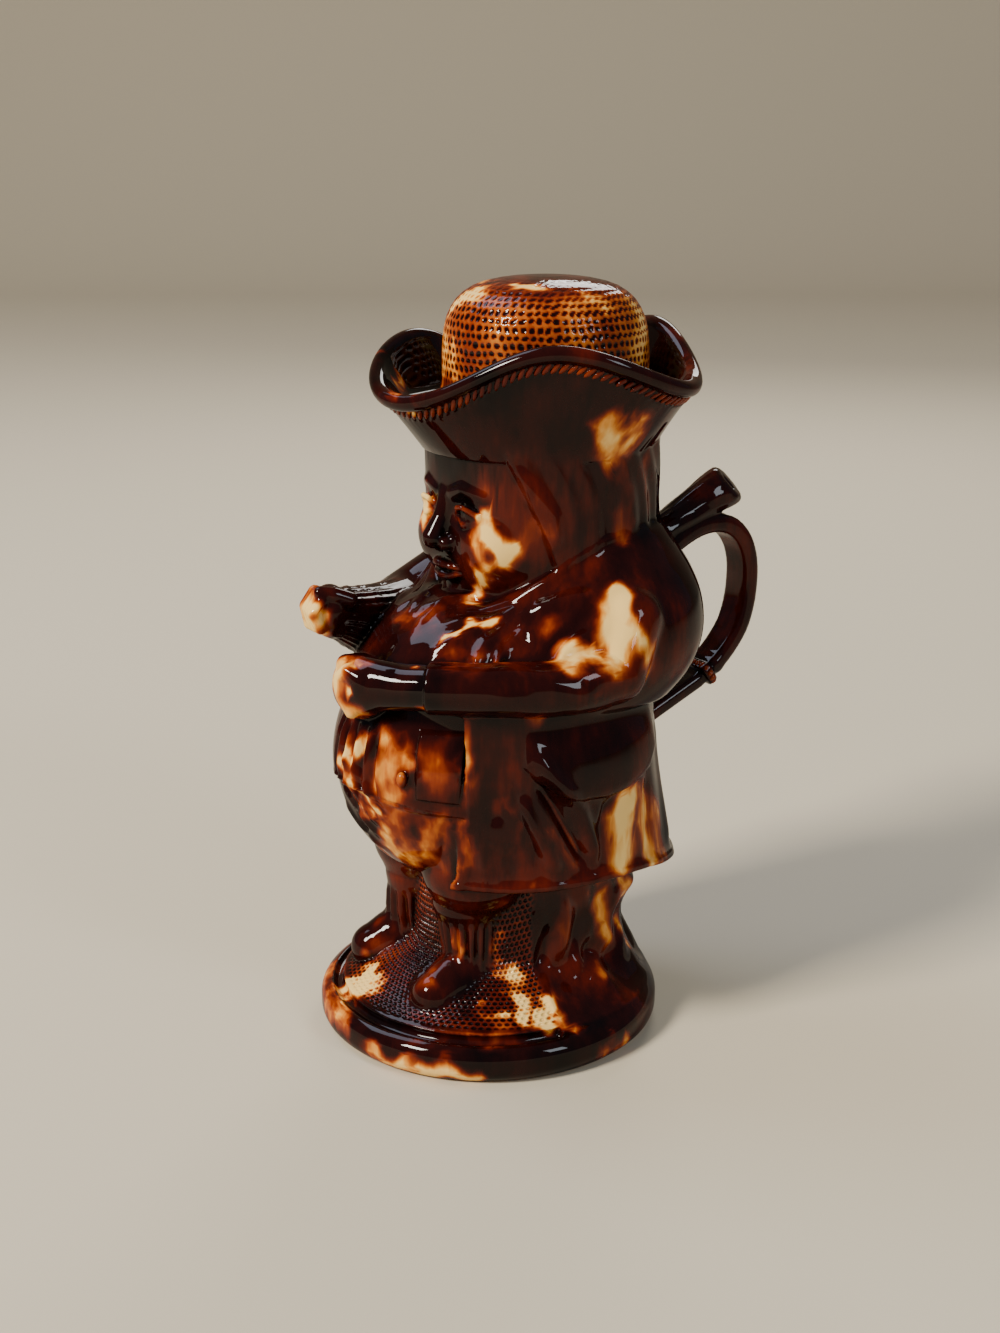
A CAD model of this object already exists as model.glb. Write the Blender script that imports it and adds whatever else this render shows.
# Toby jug in treacle glaze: a standing man in a three-cornered hat, cast with his stand and handle,
# and the pitted crown of his hat as a lift-off lid.
#
# The figure is modelled as one continuous field of distances, built from named forms (stand, legs,
# waistcoat, coat, arms, head, hat, handle) with the low relief pressed on top, then skinned to a
# mesh. Lengths in the forms are millimetres in the model's own frame: +Z up, the man faces -Y.
import math

import bmesh
import bpy
import numpy as np
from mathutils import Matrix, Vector


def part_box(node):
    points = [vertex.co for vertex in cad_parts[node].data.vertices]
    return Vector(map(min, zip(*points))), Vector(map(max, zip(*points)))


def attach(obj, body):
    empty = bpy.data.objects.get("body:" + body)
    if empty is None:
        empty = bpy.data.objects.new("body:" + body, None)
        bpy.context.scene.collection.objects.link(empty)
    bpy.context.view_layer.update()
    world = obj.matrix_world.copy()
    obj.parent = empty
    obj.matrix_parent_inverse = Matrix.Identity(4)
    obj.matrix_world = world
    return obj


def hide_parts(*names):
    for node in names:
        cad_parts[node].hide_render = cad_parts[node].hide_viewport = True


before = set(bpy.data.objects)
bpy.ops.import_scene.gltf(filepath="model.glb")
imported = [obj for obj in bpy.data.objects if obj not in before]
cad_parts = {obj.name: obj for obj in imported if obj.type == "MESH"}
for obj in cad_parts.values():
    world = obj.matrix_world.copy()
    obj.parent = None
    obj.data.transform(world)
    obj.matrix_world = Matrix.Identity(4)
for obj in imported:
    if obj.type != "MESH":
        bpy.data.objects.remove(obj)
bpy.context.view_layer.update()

MM = 0.001

# ---- driving sizes, millimetres --------------------------------------------
LID_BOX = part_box("hat_crown_lid")
BASE_RADIUS = 57.8
BASE_RIM_HEIGHT = 12.5
BASE_RIM_ROUND = 5
GROOVE_RADIUS = 51.5
HEM_HEIGHT = 61
HEM_DROP_AT_BACK = 5
HEAD_Y = 20
HAT_BOTTOM = 196
HAT_FOOT_WIDTH = 36.5
HAT_FOOT_DEPTH = 38.5
BRIM_HEIGHT = 223.5
BRIM_WAVE = 7.4
BRIM_RADIUS = 50.8
BRIM_POINT = 3.8
BRIM_WALL = 4.5
LEDGE_HEIGHT = 211
MOUTH_RADIUS = 28.5
LID_Y = (LID_BOX[0][1] + LID_BOX[1][1]) / 2 / MM
HANDLE_HALF_WIDTH = 6.5
HANDLE_HALF_THICKNESS = 3.1
PIT_PITCH = 1.95
PIT_DEPTH = 0.42
AXIS_Y = 8            # the upright axis that strokes on the body are unrolled round
UNROLL_RADIUS = 45
LAYING_ROUNDS = 12     # small steps in which the line of a fold is moved on to its cloth

GRID = 1.25
JUG_TRIANGLES = 192000


# ---- maths on arrays -------------------------------------------------------
def smooth(low, high, value):
    s = np.clip((value - low) / (high - low), 0, 1)
    return s * s * (3 - 2 * s)


def mix(a, b, t):
    return a + (b - a) * t


def join(a, b, fillet=3.0):
    """Two distances joined, with a fillet of about the size given."""
    near = np.maximum(fillet - np.abs(a - b), 0) / fillet
    return np.minimum(a, b) - near * near * fillet / 4


def within(a, b, fillet=1.0):
    return -join(-a, -b, fillet)


def carve(a, b, fillet=1.0):
    return within(a, -b, fillet)


def through(rows):
    """A smooth curve through rows of (position, value, value, ...)."""
    rows = np.array(rows, np.float32)
    at, values = rows[:, 0], rows[:, 1:]
    before = np.maximum(np.arange(len(at)) - 1, 0)
    after = np.minimum(np.arange(len(at)) + 1, len(at) - 1)
    slopes = (values[after] - values[before]) / (at[after] - at[before])[:, None]

    def curve(position):
        i = np.clip(np.searchsorted(at, position, side="right") - 1, 0, len(at) - 2)
        span = at[i + 1] - at[i]
        t = np.clip((position - at[i]) / span, 0, 1)
        t2, t3 = t * t, t * t * t
        start, end = 2 * t3 - 3 * t2 + 1, 3 * t2 - 2 * t3
        leave, arrive = (t3 - 2 * t2 + t) * span, (t3 - t2) * span
        return [
            values[i, k] * start + values[i + 1, k] * end + slopes[i, k] * leave + slopes[i + 1, k] * arrive
            for k in range(values.shape[1])
        ]

    return curve


# ---- forms: distances from points p = (x, y, z) to a surface, negative inside 
def stack(sections, p, power=2.3):
    """Superellipse sections piled up Z: sections(z) gives centre y, half width and half depth."""
    x, y, z = p
    centre, width, depth = sections(z)
    dy = y - centre
    size = (np.abs(x / width) ** power + np.abs(dy / depth) ** power) ** (1 / power)
    size = np.maximum(size, 0.2)
    return np.hypot(x, dy) * (1 - 1 / size) - 0.8 * np.minimum(width, depth) * (size <= 0.2)


def egg(p, centre, radii):
    x, y, z = (axis - c for axis, c in zip(p, centre))
    rx, ry, rz = radii
    near = np.sqrt((x / rx) ** 2 + (y / ry) ** 2 + (z / rz) ** 2)
    steep = np.sqrt((x / rx**2) ** 2 + (y / ry**2) ** 2 + (z / rz**2) ** 2)
    return near * (near - 1) / np.maximum(steep, 1e-6)


def limb(p, points):
    """A round limb through points of (x, y, z, radius)."""
    x, y, z = p
    nearest = np.full(x.shape, 1e3, np.float32)
    for (ax, ay, az, ra), (bx, by, bz, rb) in zip(points, points[1:]):
        ux, uy, uz = bx - ax, by - ay, bz - az
        t = ((x - ax) * ux + (y - ay) * uy + (z - az) * uz) / (ux * ux + uy * uy + uz * uz)
        t = np.clip(t, 0, 1)
        gap = np.sqrt((x - ax - t * ux) ** 2 + (y - ay - t * uy) ** 2 + (z - az - t * uz) ** 2)
        nearest = np.minimum(nearest, gap - ra - t * (rb - ra))
    return nearest


def mirrored(p):
    return np.abs(p[0]), p[1], p[2]


def unrolled(p, axis_y=AXIS_Y):
    """Distance round the body from the front, and height."""
    x, y, z = p
    return np.arctan2(x, axis_y - y) * UNROLL_RADIUS, z


def stroke(p, points, width, axis_y=AXIS_Y):
    """1 along a line through points on the skin, fading to 0 over the width, tapered at its ends."""
    across, z = unrolled(p, axis_y)
    marks = [(math.atan2(x, axis_y - y) * UNROLL_RADIUS, h) for x, y, h in points]
    lengths = [math.dist(a, b) for a, b in zip(marks, marks[1:])]
    total = sum(lengths)
    nearest = np.full(across.shape, 1e3, np.float32)
    place = np.zeros(across.shape, np.float32)
    passed = 0
    for (a, b), length in zip(zip(marks, marks[1:]), lengths):
        ux, uz = (b[0] - a[0]) / length, (b[1] - a[1]) / length
        t = np.clip((across - a[0]) * ux + (z - a[1]) * uz, 0, length)
        gap = np.hypot(across - a[0] - t * ux, z - a[1] - t * uz)
        place = np.where(gap < nearest, (passed + t) / total, place)
        nearest = np.minimum(nearest, gap)
        passed += length
    taper = smooth(0, 0.18, place) * smooth(1, 0.82, place)
    return np.exp(-((nearest / width) ** 2)) * (0.25 + 0.75 * taper)


def ridge_line(p, points, width):
    """1 along a line through points in space, fading to 0 over the width, tapered at its ends."""
    x, y, z = p
    nearest = np.full(x.shape, 1e6, np.float32)
    place = np.zeros(x.shape, np.float32)
    for k, ((ax, ay, az), (bx, by, bz)) in enumerate(zip(points, points[1:])):
        ux, uy, uz = bx - ax, by - ay, bz - az
        t = np.clip(((x - ax) * ux + (y - ay) * uy + (z - az) * uz) / (ux * ux + uy * uy + uz * uz), 0, 1)
        gap = (x - ax - t * ux) ** 2 + (y - ay - t * uy) ** 2 + (z - az - t * uz) ** 2
        place = np.where(gap < nearest, (k + t) / (len(points) - 1), place)
        nearest = np.minimum(nearest, gap)
    taper = smooth(0, 0.2, place) * smooth(1, 0.8, place)
    return np.exp(-nearest / width**2) * (0.25 + 0.75 * taper)


def panel(p, corners, edge=0.8, axis_y=AXIS_Y):
    """1 inside a convex panel laid on the skin, its corners anticlockwise seen from outside."""
    across, z = unrolled(p, axis_y)
    marks = [(math.atan2(x, axis_y - y) * UNROLL_RADIUS, h) for x, y, h in corners]
    beyond = np.full(across.shape, -1e3, np.float32)
    for a, b in zip(marks, marks[1:] + marks[:1]):
        length = math.dist(a, b)
        outward = ((b[1] - a[1]) / length, -(b[0] - a[0]) / length)
        beyond = np.maximum(beyond, (across - a[0]) * outward[0] + (z - a[1]) * outward[1])
    return smooth(edge, -edge, beyond)


# ---- moving points on to a form --------------------------------------------
def in_slabs(form, p, thickness=9.0):
    """The form evaluated slab by slab in height, so that only the forms there are worked out."""
    out = np.empty(p[0].shape, np.float32)
    slab = np.floor(p[2] / thickness).astype(np.int32)
    for level in np.unique(slab):
        here = slab == level
        out[here] = form(tuple(axis[here] for axis in p))
    return out


def growth(form, points, reach):
    """How the distance grows along each axis, at each point."""
    probes = np.array([(1, 1, 1), (1, -1, -1), (-1, 1, -1), (-1, -1, 1)], np.float32)
    total = np.zeros_like(points)
    for probe in probes:
        at = points + probe * reach
        total += probe * in_slabs(form, (at[:, 0], at[:, 1], at[:, 2]))[:, None]
    return total / (4 * reach)


def slope(form, points, reach):
    """The direction in which the distance grows, at each point."""
    rise = growth(form, points, reach)
    return rise / np.maximum(np.linalg.norm(rise, axis=1, keepdims=True), 1e-6)


def settled(form, points, reach, rounds=2):
    """The points slid along the slope on to the skin."""
    for _ in range(rounds):
        gap = in_slabs(form, (points[:, 0], points[:, 1], points[:, 2]))
        rise = growth(form, points, reach)
        step = gap / np.maximum((rise**2).sum(1), 0.5)
        points = points - rise * np.clip(step, -0.5, 0.5)[:, None]
    return points


def laid_on(cloth, points):
    """The line through the points, with places half-way put in until it has five, moved on to the cloth."""
    line = np.array(points, np.float32)
    while len(line) < 5:
        halfway = (line[:-1] + line[1:]) / 2
        line = np.insert(line, range(1, len(line)), halfway, axis=0)
    return settled(cloth, line, 0.3, LAYING_ROUNDS)


# ---- the stand -------------------------------------------------------------
COLUMN = through([
    (14, 3, 48, 50),
    (26, 11, 36, 38),
    (36, 12, 34, 36.5),
    (46, 13, 35, 37),
    (58, 13.5, 36, 38.5),
    (66, 14, 42, 44),
])
SEAM_Y = -3


def behind_seam(p):
    """1 over the draped back of the stand, 0 over its pitted front."""
    return smooth(-1, 1, p[1] - SEAM_Y)


def flutes(p):
    x, y, z = p
    turn = np.arctan2(x, 6 - y)
    sway = 0.25 * np.sin(0.09 * z + 2.1 * turn) + 0.10 * np.sin(0.21 * z - 3 * turn)
    broad = np.cos(9 * (turn + sway))
    narrow = 0.5 * np.cos(23 * turn + 3.5 * np.sin(0.11 * z))
    hollows = 0.35 * np.sin(0.23 * z + 5 * turn)
    return (0.6 + 1.3 * (broad + narrow + hollows) * smooth(62, 44, z)) * behind_seam(p) * smooth(9, 26, z)


def stand(p):
    x, y, z = p
    r = np.hypot(x, y)
    middle = BASE_RIM_HEIGHT / 2
    up = np.maximum(np.abs(z - middle) - middle + BASE_RIM_ROUND, 0)
    rim = np.hypot(np.maximum(r - BASE_RADIUS + BASE_RIM_ROUND, 0), up) - BASE_RIM_ROUND
    mound = (z - 11 - 14 * smooth(52, 26, r)) * 0.8
    stump = within(stack(COLUMN, p) - 0.8 * behind_seam(p) + flutes(p), z - 66)
    groove = np.hypot(r - GROOVE_RADIUS, z - BASE_RIM_HEIGHT) - 1.9
    body = join(join(rim, within(mound, r - 52), 2), stump, 7)
    return carve(body, groove + 3 * behind_seam(p), 1) + ground_pits(p)


# ---- legs ------------------------------------------------------------------
LEFT_CALF = [(15.5, -16.5, 48, 11.2), (16, -15.8, 36, 10.2), (16.5, -14.5, 27, 9.2)]
RIGHT_CALF = [(16, -17.5, 48, 11), (17.5, -18.5, 37, 10), (18.5, -18, 29, 9.2)]
LEFT_SHOE = [(17, -13, 0), (17.5, -22, 0), (17.5, -31.5, 0)]
RIGHT_SHOE = [(18.5, -16, 1.5), (21, -24, 1.5), (24, -32, 1.5)]


def legs(p):
    x, _, z = side = mirrored(p)
    thigh = limb(side, [(18, -11, 80, 26), (16.5, -14.5, 63, 18.5), (15.8, -17, 51, 11.6)])
    breeches = within(thigh, 44.5 - z + 0.12 * (x - 16), 6)
    calf = np.where(p[0] > 0, stocking(side, LEFT_CALF), stocking(side, RIGHT_CALF))
    return join(breeches, calf, 4)


def stocking(side, points):
    """A calf in a ribbed stocking."""
    x, y, z = side
    turn = np.arctan2(x - 16.5, -16 - y)
    ribs = 0.6 * np.cos(19 * turn) * smooth(24, 30, z) * smooth(46, 42, z)
    return limb(side, points) - ribs


def shoes(p):
    side = mirrored(p)
    return np.where(p[0] > 0, shoe(side, LEFT_SHOE), shoe(side, RIGHT_SHOE))


def shoe(side, points):
    """A round-toed shoe with a welt, from rows of (x, y, lift) at its heel, waist and toe."""
    x, y, z = side
    (hx, hy, lift), (wx, wy, _), (tx, ty, _) = points
    upper = limb(side, [(hx, hy, 23 + lift, 9.4), (wx, wy, 21.6 + lift, 8.8), (tx, ty, 19.4 + lift, 7.8)])
    instep = limb(side, [(hx, hy - 3, 30 + lift, 8.4), (wx, wy - 1, 25 + lift, 6.4)])
    upper = within(join(upper, instep, 6), 13 - z)
    ground = 11 + 14 * smooth(52, 26, np.hypot(x, y))
    reach = limb((x, y, np.zeros_like(z)), [(hx, hy, 0, 10.2), (wx, wy, 0, 9.9), (tx, ty, 0, 9)])
    welt = within(reach, np.abs(z - ground - 0.8) - 1.2, 1)
    return join(upper, welt, 0.6)


# ---- waistcoat over the belly ----------------------------------------------
WAISTCOAT_HEM = [
    (-38, -30, 88), (-24, -46, 89.5), (-8, -52, 93), (7, -52, 93), (16, -49, 91), (24, -46, 89.5),
    (38, -30, 88),
]
POCKET_FLAP = [(28.2, -44, 94), (37, -34, 93), (38, -31, 115), (27, -43, 115)]


def gathers(p):
    """The ribs of cloth bunched under the left hand, and the creases that run from them."""
    across, z = unrolled(p)
    drawn = smooth(116, 108, z) * smooth(84, 98, z)
    bend = 0.035 * np.maximum(100 - z, 0) ** 1.6
    ribs = np.cos(2 * math.pi * (across - bend) / 3.9) * smooth(13, 7, np.abs(across - 2 - bend))
    creases = 0.0
    for start, end in (
        ((-3, -52, 104), (15, -49, 85)),
        ((-4, -52, 98), (12, -47, 80)),
        ((-6, -52, 92), (9, -45, 75)),
        ((3, -53, 101), (17, -48, 88)),
        ((-9, -51, 84), (6, -43, 69)),
    ):
        creases = creases + stroke(p, [start, end], 1.1)
    return 1.15 * ribs * drawn + 1.0 * creases


def waistcoat(p):
    x, _, z = p
    belly = egg(p, (0, -7.5, 96), (41.5, 44.5, 44))
    hem_line = 93 - 0.0042 * np.abs(x) ** 2
    cloth = 1.1 * smooth(-0.6, 0.6, z - hem_line)
    piping = 0.9 * stroke(p, WAISTCOAT_HEM, 0.9)
    flap = 1.5 * panel(p, POCKET_FLAP, 0.7)
    fly = -0.7 * stroke(p, [(2, -50, 90), (1, -43, 72), (0, -34, 58)], 0.9)
    crease = -0.6 * stroke(p, [(33, -36, 88), (28, -34, 75), (25, -33, 63)], 1.6)
    relief = (cloth + piping + flap + gathers(p) + fly + crease) * smooth(20, 0, np.abs(belly))
    knob = egg(p, (24.2, -46.2, 100), (1.7, 1.7, 2.6))
    return join(belly - relief, knob, 0.8)


# ---- coat skirts -----------------------------------------------------------
SKIRTS = through([
    (54, 14, 49, 49.5),
    (72, 11, 48.5, 48.5),
    (86, 8, 48.5, 48.5),
    (99, 6, 48, 49),
    (114, 5, 48, 50),
])
SKIRT_FOLDS = (
    ([(46, -12, 113), (50, -7, 102), (48, 5, 87), (47.5, 13, 66)], 2.4, 2.4),
    ([(47, -12, 103), (48, -3, 87), (47.5, 9, 66)], -2.4, 2.2),
    ([(44, -17, 96), (46.5, -9, 80), (48, -2, 66)], 2.1, 2.4),
    ([(40.5, -24, 98), (42, -20, 80), (42, -16, 66)], -1.5, 2.8),
    ([(38.5, -29, 108), (38, -28, 94), (37, -23, 66)], 1.5, 2.4),
    ([(43, -19, 104), (45, -14, 84), (46, -8, 68)], -1.6, 1.9),
)
COAT_POCKET = [
    (44.5, -14, 105), (47.5, -10, 99), (50, -4, 94.5), (50, 5, 91.5), (48, 15, 90.6), (46, 24, 91.5),
    (42.5, 34, 95), (40, 39, 101), (40, 39, 126), (50, 5, 128), (45, -13, 120),
]
TAIL_PLEATS = (
    ([(48.4, 16, 90), (48, 13, 79), (47.8, 13, 64)], -1.1, 1.8),
    ([(45.3, 27.6, 89), (48, 23.6, 77), (48.4, 21.6, 62)], 1.1, 2.4),
    ([(42, 37, 92), (43, 36, 76), (44, 34, 60)], -1.3, 2.2),
    ([(30, 52, 108), (32, 52, 84), (34, 51, 58)], 1.1, 3),
    ([(20, 57, 110), (21, 58, 84), (22, 60, 58)], -1.3, 2.6),
    ([(8, 58, 84), (8, 61, 58), (8, 62, 56)], 1.2, 3),
)


def on_both_sides(p, folds):
    """Strokes from (points, height, width) rows, on his left side and mirrored on his right."""
    side = mirrored(p)
    total = 0.0
    for points, height, width in folds:
        total = total + height * stroke(side, points, width)
    return total


def skirts(p):
    x, y, z = p
    side = mirrored(p)
    hem = HEM_HEIGHT - HEM_DROP_AT_BACK * smooth(25, 60, y)
    lip = 0.9 * smooth(6, 1, z - hem) + 0.5 * smooth(1.6, 0.8, np.abs(z - hem - 1.6))
    opening = 28.5 + 8.5 * smooth(56, 104, z)
    in_front = np.maximum(np.abs(x) - opening, y + 4)
    piping = 1.3 * smooth(3.6, 2.4, in_front) * smooth(-1, -8, y)
    folds = on_both_sides(p, SKIRT_FOLDS) + on_both_sides(p, TAIL_PLEATS)
    sections = stack(SKIRTS, p)
    bulge = 2.8 * panel(side, COAT_POCKET, 4) * smooth(117, 99, z)
    rim = 1.1 * panel(side, COAT_POCKET, 0.8) * smooth(118, 106, z)
    cloth = sections - lip - piping - folds * smooth(118, 104, z) - bulge - rim
    body = within(within(cloth, hem - z, 1.5), z - 122)
    return carve(body, in_front, 0.8)


# ---- shoulders, chest and collar -------------------------------------------
SHOULDERS = through([
    (114, 12, 47, 44),
    (124, 19, 51, 46),
    (132, 22, 52.5, 47),
    (140, 24, 52, 46.5),
    (149, 25, 50, 44.5),
    (157, 26, 45, 41),
    (164, 26.5, 39, 37),
    (172, 27, 33, 32),
])
LAPELS = (
    ([(36.5, -28, 138), (29.5, -18, 141.5), (29, -9.5, 146), (32.5, -3.5, 150)], 2.5, 2.2),
    ([(39.5, -24, 138), (33.5, -14.5, 140), (34, -6, 146), (38.5, -6.5, 142)], 2.2, 1.9),
    ([(32, -3.5, 150.5), (36, 1, 152.5), (39, 6.5, 154.5), (42.5, 13.5, 155.5)], 1.8, 2.3),
    ([(21, -32, 140), (24, -24, 144), (25.5, -13.5, 146.5), (28, -6, 150)], 2.2, 1.8),
)
ARM_CREASES = (
    ([(46, -12.5, 138), (43.5, -3, 141), (45, 6, 147), (44.5, 13, 152.5)], -2.8, 2.4),
    ([(49.5, -8, 138.5), (47, -0.5, 142.5), (47.5, 6.5, 148.5)], 1.3, 2.2),
)
CRAVAT = (
    ([(16.5, -25.5, 146), (30, -4.5, 152)], 1.9, 1.7),
    ([(1.5, -28, 146), (9, -12, 152)], 1.9, 1.6),
    ([(8.5, -31, 143.5), (4.5, -16.5, 151)], 1.3, 1.6),
)
COLLAR = [
    (0, -18, 145), (10.6, -17.4, 147.1), (18.8, -12.4, 148.6), (26, -5.5, 152.7), (31.4, 3, 158.8),
    (34, 10.5, 165.4), (35.6, 20.6, 170.4), (31.6, 38, 172.4), (18, 50, 173),
]
COLLAR_INNER = [
    (0, -14.4, 146.6), (7.4, -13.2, 148), (16, -8.6, 150.2), (23, -2.4, 154.6), (28.6, 5.4, 161.2),
    (31, 12.6, 167.8), (32.4, 22, 172.8), (28.4, 38, 175),
]


def coat_cloth(p):
    """Shoulders and chest before anything is laid on them."""
    x, y, z = p
    sheared = z + 0.38 * np.maximum(0, 22 - y) * smooth(128, 146, z)
    under = 118 - 3 * smooth(10, 60, y)
    leaning = (x, y, sheared)
    mantle = within(within(stack(SHOULDERS, leaning, 2.5), under - z, 2.5), sheared - 172, 3)
    chest = egg(p, (0, -6, 122), (43, 38, 30))
    return join(mantle, chest, 5)


def shoulders(p):
    side = mirrored(p)
    relief = sum(height * ridge_line(side, points, width) for points, height, width in FOLDS)
    inner = ridge_line(side, COLLAR_INNER, 2.0)
    edge = ridge_line(side, COLLAR, 1.5)
    return coat_cloth(p) - relief + 1.7 * inner - 1.8 * edge


# ---- arms ------------------------------------------------------------------
LEFT_SLEEVE = [
    (43, 26, 146, 11), (48, 18, 131, 9.8), (48.9, 0, 129, 8.8), (42, -22, 130, 8.4),
    (29.5, -38, 130, 8.2),
]
LEFT_WRIST = [(29.5, -38, 130, 7.2), (13, -49, 128, 7.4)]
RIGHT_SLEEVE = [(-36, 16, 148, 14), (-40, -8, 136, 12.5), (-33, -18, 134, 11)]
RIGHT_FOREARM = [
    (-34, -14, 134.5, 13.5), (-30, -24, 136, 12.4), (-25.6, -33, 138.8, 11), (-20.5, -44, 143.6, 8.4),
]


def left_arm(p):
    x, y, z = p
    sleeve = limb(p, LEFT_SLEEVE)
    wrinkles = 0.22 * np.sin(0.31 * y + 0.5 * z + 1.1) * smooth(30, 5, y) * smooth(-36, -20, y)
    sleeve = within(sleeve - wrinkles, (y + 39.5) * -0.75 - (x - 29.5) * 0.66, 0.8)
    wrist = limb(p, LEFT_WRIST)
    fist = egg(p, (4.6, -49.6, 126.2), (10.6, 8.6, 10.6))
    gaps = np.minimum.reduce([
        limb(p, [(6 + 3.1 * k, -58.4 + 0.5 * k, 135.5 - 2.5 * k, 0.4),
                 (1.5 + 3.1 * k, -59.2 + 0.5 * k, 126 - 2.5 * k, 0.7),
                 (2 + 3.1 * k, -56 + 0.5 * k, 117.5 - 2.5 * k, 0.4)])
        for k in (-1, 0, 1)
    ])
    knuckles = limb(p, [(12.5, -54.5, 131.5, 2.4), (9.5, -56.4, 133.2, 2.6), (6, -56.6, 130.5, 2.6),
                        (7, -56.6, 125, 2.6), (9.5, -55.6, 120, 2.2)])
    thumb = limb(p, [(17, -47, 131.4, 3.6), (9, -52, 134, 3.2), (2, -53.5, 133.6, 2.8)])
    hand = join(join(carve(fist, gaps, 1.0), knuckles, 1.6), thumb, 1.6)
    return join(sleeve, join(wrist, hand, 5), 0.8)


def coat_and_sleeve(p):
    """The cloth that the folds of the lapels lie on."""
    return join(coat_cloth(p), left_arm(p), 1.4)


FOLDS = [
    (laid_on(coat_and_sleeve, points), height, width)
    for points, height, width in LAPELS + ARM_CREASES + CRAVAT
]


def right_arm(p):
    x, y, z = p
    sleeve = limb(p, RIGHT_SLEEVE)
    forearm = limb(p, RIGHT_FOREARM)
    along = -0.42 * (x + 26) - 0.84 * (y + 32) + 0.34 * (z - 139)
    turn = np.arctan2(z - 140 + 0.35 * (y + 34), x + 24 + 0.45 * (y + 34))
    pleats = 0.2 * np.cos(22 * turn + 0.2 * along) * smooth(-14, -2, along) * smooth(14, 8, along)
    cuff_edge = 0.3 * smooth(1.6, 0.4, np.abs(along - 9.5))
    palm = egg(p, (-18, -48.4, 145.4), (7.4, 6.4, 8.8))
    fingers = np.minimum.reduce([
        limb(p, [(-22.6 + 2.7 * k, -51.4 - 0.5 * k, 151.2 - 0.5 * k, 2.2),
                 (-22.4 + 2.7 * k, -54.6 - 0.4 * k, 147 - 0.3 * k, 2.3),
                 (-21.6 + 2.5 * k, -53.8, 141.2, 2.1)])
        for k in range(4)
    ])
    thumb = limb(p, [(-12.6, -44, 149.5, 2.8), (-13.6, -49, 151.6, 2.6), (-15.6, -53, 152.4, 2.2)])
    hand = join(join(palm, fingers, 1.0), thumb, 1.0)
    return join(join(sleeve, forearm - pleats - cuff_edge, 3), hand, 2)


# ---- head ------------------------------------------------------------------
HEAD = through([
    (146, 16, 21, 21),
    (151, 17, 26, 27),
    (158, 18.5, 30.5, 33),
    (168, HEAD_Y, 33, 36.5),
    (180, HEAD_Y, 33.5, 36.5),
    (198, HEAD_Y, 34.5, 36.5),
])


def eyes(p, head):
    side = mirrored(p)
    socket = egg(side, (11.5, -19, 178.5), (7, 5, 4.8))
    ball = egg(side, (11.5, -11.2, 178), (5.2, 4.8, 4))
    lid = limb(side, [(6.4, -14.6, 178.2, 0.8), (8.8, -16.4, 180.4, 0.9), (12, -16.6, 181.1, 0.9),
                      (16.6, -13.6, 178.6, 0.8)])
    under = limb(side, [(6.8, -14.8, 177.2, 0.6), (11.5, -15.9, 175.4, 0.7), (16.2, -13.2, 177.2, 0.6)])
    iris = egg(side, (11.4, -16.4, 178), (1.5, 0.8, 1.5))
    d = carve(head, socket, 3)
    d = join(d, ball, 0.6)
    d = join(join(d, lid, 0.9), under, 0.9)
    return carve(d, iris, 0.5)


def face(p):
    side = mirrored(p)
    d = eyes(p, stack(HEAD, p))
    brow = limb(side, [(4.6, -15.8, 184.4, 0.9), (10.5, -15.6, 186.4, 1.2), (17.6, -11.6, 184.6, 0.8)])
    nose = limb(p, [(0, -14.5, 183, 2.6), (0, -17.2, 176, 2.6), (0, -20, 169.8, 3.7)])
    wing = egg(side, (4, -17.4, 168.2), (2.6, 3, 2.5))
    nostril = egg(side, (2.2, -20.2, 166.3), (1.1, 1.6, 0.9))
    cheek = egg(side, (14, -7.5, 167), (9, 8, 9))
    upper_lip = limb(side, [(0.8, -17.2, 160.7, 1.5), (4, -16.6, 160.6, 1.3), (8, -14.4, 159.6, 0.7)])
    lower_lip = limb(side, [(0, -16.6, 157.4, 1.7), (4, -15.8, 157.6, 1.4), (7.4, -14.2, 158.8, 0.8)])
    parting = limb(side, [(0, -18.6, 159, 0.6), (8.6, -15.2, 159.1, 0.5)])
    chin = egg(p, (0, -8, 151.5), (8, 6.5, 5.5))
    d = join(join(d, brow, 2.2), join(nose, wing, 1.2), 2.4)
    d = carve(d, nostril, 0.6)
    d = join(join(d, cheek, 6), chin, 4)
    d = join(d, np.minimum(upper_lip, lower_lip), 1.4)
    return carve(d, parting, 0.7)


HAIR_EDGE = [(25, -8, 197), (27.5, -4, 187), (30, 0.5, 177), (31.5, 4, 168)]
SIDE_LOCK = [(26, -6, 195), (30.5, -1, 187), (33.5, 4.5, 179), (33, 5.5, 173), (31.5, 4, 168.5)]


def hair(p):
    x, y, z = p
    side = mirrored(p)
    edge = -8 + 0.42 * (196 - z)
    turn = np.arctan2(np.abs(x), HEAD_Y - y)
    strands = 0.28 * np.sin(30 * turn + 0.22 * z + 2 * np.sin(0.13 * z)) + 0.35 * np.sin(11 * turn + 0.1 * z)
    strands = strands * smooth(edge, edge + 10, y)
    lock = 1.2 * stroke(side, SIDE_LOCK, 2.4, HEAD_Y) - 0.9 * stroke(side, HAIR_EDGE, 0.8, HEAD_Y)
    return within(stack(HEAD, p) - 2.0 - strands - lock, edge - y, 1)


# ---- hat -------------------------------------------------------------------
def brim_edge(turn):
    lean = 1.3 * np.sin(turn) - 1.8 * np.cos(turn)
    height = BRIM_HEIGHT - BRIM_WAVE * np.cos(3 * turn - 0.12) + lean
    return height, BRIM_RADIUS + BRIM_POINT * np.cos(3 * turn + 0.6)


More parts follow.
